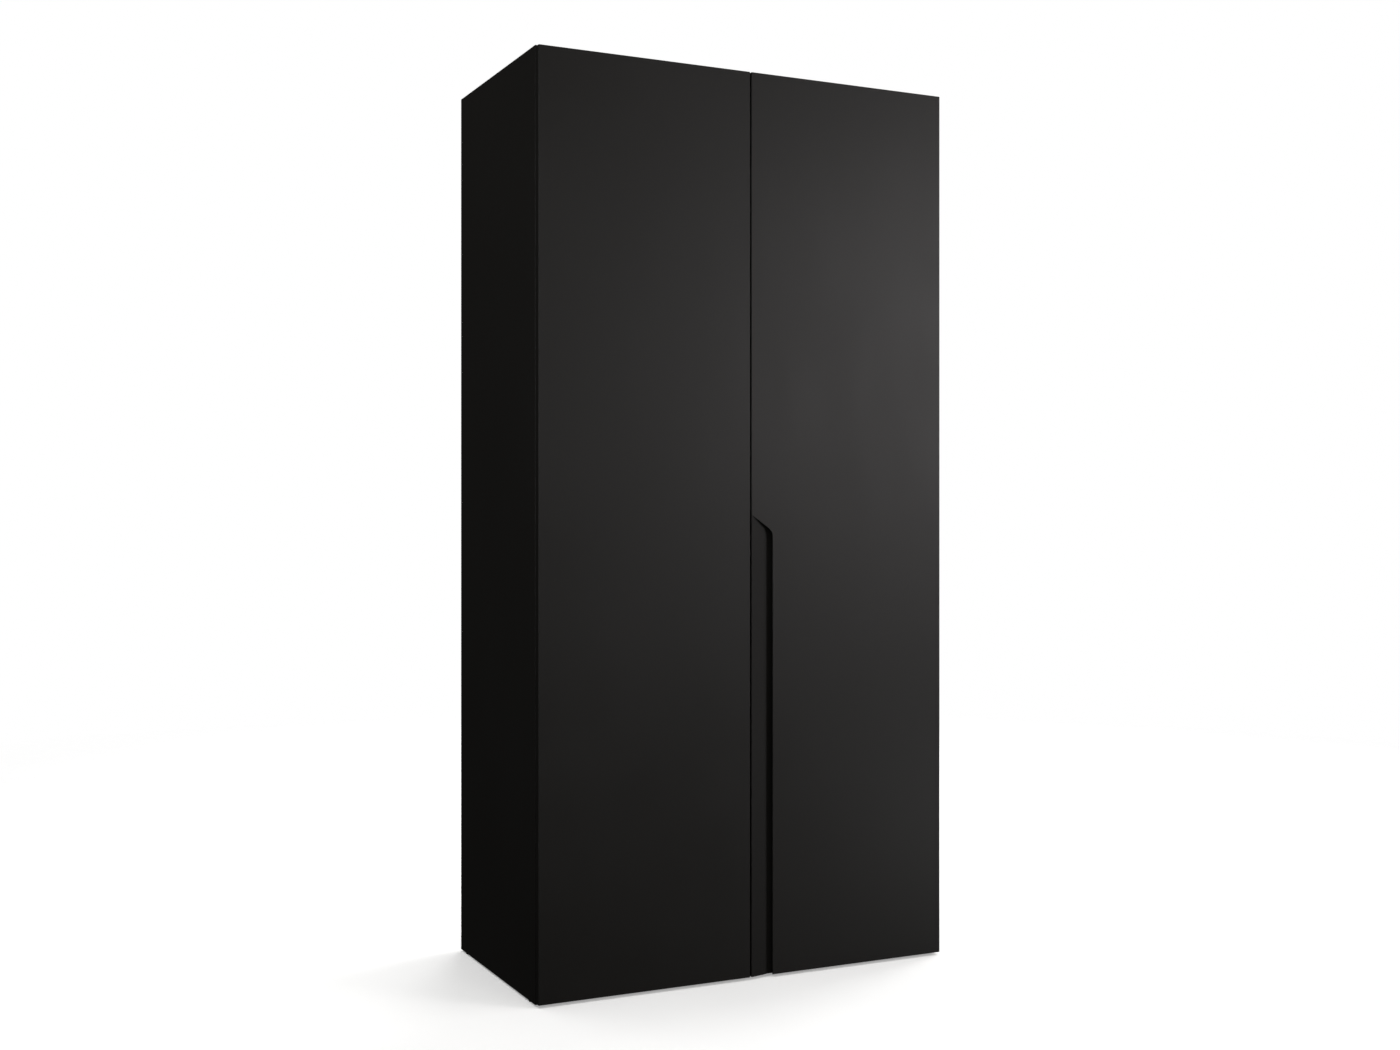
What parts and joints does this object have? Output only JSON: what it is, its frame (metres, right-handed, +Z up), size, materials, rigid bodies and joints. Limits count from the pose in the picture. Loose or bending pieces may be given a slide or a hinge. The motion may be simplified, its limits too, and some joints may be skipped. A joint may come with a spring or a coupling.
{
  "type": "wardrobe with doors",
  "caption": "Tall black wardrobe with hinged full-height doors, a milled finger grip in the right door, shelves, a hanging rail and a plinth on low glides.",
  "frame": {"origin": "on the floor, under the middle of the closed wardrobe's box", "axes": "+X to the right seen from the front, +Y from the door fronts to the back, +Z up"},
  "size_m": [1, 0.525, 2.015],
  "materials": {
    "door_board": "matt black lacquered board, very fine grain, soft sheen; inner face in a charcoal linen decor",
    "body_board": "matt black melamine-coated board with matching edging; faces inside in a charcoal linen decor",
    "back_board": "thin hardboard, charcoal linen decor inside, raw brown behind",
    "black_plastic": "moulded black plastic",
    "rail_chrome": "chromed steel tube and die-cast sockets",
    "hinge_steel": "nickel-plated pressed steel"
  },
  "bodies": {
    "carcass": {"left_side_panel": "body_board", "right_side_panel": "body_board", "top_panel": "body_board", "bottom_panel": "body_board", "divider_panel": "body_board", "plinth_front": "body_board", "plinth_back": "body_board", "left_shelf_1": "body_board", "left_shelf_2": "body_board", "left_shelf_3": "body_board", "left_shelf_4": "body_board", "hat_shelf": "body_board", "back_panel_left": "back_board", "back_panel_right": "back_board", "back_joint_strip": "black_plastic", "glide_left_front": "black_plastic", "glide_left_back": "black_plastic", "glide_right_front": "black_plastic", "glide_right_back": "black_plastic", "glide_plinth_front": "black_plastic", "glide_plinth_back": "black_plastic", "clothes_rail": "rail_chrome", "rail_socket_left": "rail_chrome", "rail_socket_right": "rail_chrome", "wall_bracket_left": "hinge_steel", "wall_bracket_right": "hinge_steel", "left_hinge_plate_1": "hinge_steel", "left_hinge_plate_2": "hinge_steel", "left_hinge_plate_3": "hinge_steel", "left_hinge_plate_4": "hinge_steel", "left_hinge_arm_1": "hinge_steel", "left_hinge_arm_2": "hinge_steel", "left_hinge_arm_3": "hinge_steel", "left_hinge_arm_4": "hinge_steel", "right_hinge_plate_1": "hinge_steel", "right_hinge_plate_2": "hinge_steel", "right_hinge_plate_3": "hinge_steel", "right_hinge_plate_4": "hinge_steel", "right_hinge_arm_1": "hinge_steel", "right_hinge_arm_2": "hinge_steel", "right_hinge_arm_3": "hinge_steel", "right_hinge_arm_4": "hinge_steel"},
    "left_door": {"left_door": "door_board", "left_hinge_cup_1": "hinge_steel", "left_hinge_cup_2": "hinge_steel", "left_hinge_cup_3": "hinge_steel", "left_hinge_cup_4": "hinge_steel"},
    "right_door": {"right_door": "door_board", "right_hinge_cup_1": "hinge_steel", "right_hinge_cup_2": "hinge_steel", "right_hinge_cup_3": "hinge_steel", "right_hinge_cup_4": "hinge_steel"},
    "left_hinge_links": {"left_hinge_link_1": "hinge_steel", "left_hinge_link_2": "hinge_steel", "left_hinge_link_3": "hinge_steel", "left_hinge_link_4": "hinge_steel"},
    "right_hinge_links": {"right_hinge_link_1": "hinge_steel", "right_hinge_link_2": "hinge_steel", "right_hinge_link_3": "hinge_steel", "right_hinge_link_4": "hinge_steel"}
  },
  "joints": [
    {"name": "left_door_hinge", "type": "hinge", "parent": "carcass", "child": "left_door", "pos_m": [-0.4929, -0.2578, 1], "axis": [0, 0, -1], "range_deg": [0, 105]},
    {"name": "right_door_hinge", "type": "hinge", "parent": "carcass", "child": "right_door", "pos_m": [0.4929, -0.2578, 1], "axis": [0, 0, 1], "range_deg": [0, 105]},
    {"name": "left_link_pivot", "type": "hinge", "parent": "carcass", "child": "left_hinge_links", "pos_m": [-0.469, -0.2535, 1], "axis": [0, 0, 1], "range_deg": [0, 50]},
    {"name": "right_link_pivot", "type": "hinge", "parent": "carcass", "child": "right_hinge_links", "pos_m": [0.469, -0.2535, 1], "axis": [0, 0, -1], "range_deg": [0, 50]}
  ],
  "couplings": [
    {"joint": "left_link_pivot", "follows": "left_door_hinge", "ratio": 0.47},
    {"joint": "right_link_pivot", "follows": "right_door_hinge", "ratio": 0.47}
  ]
}
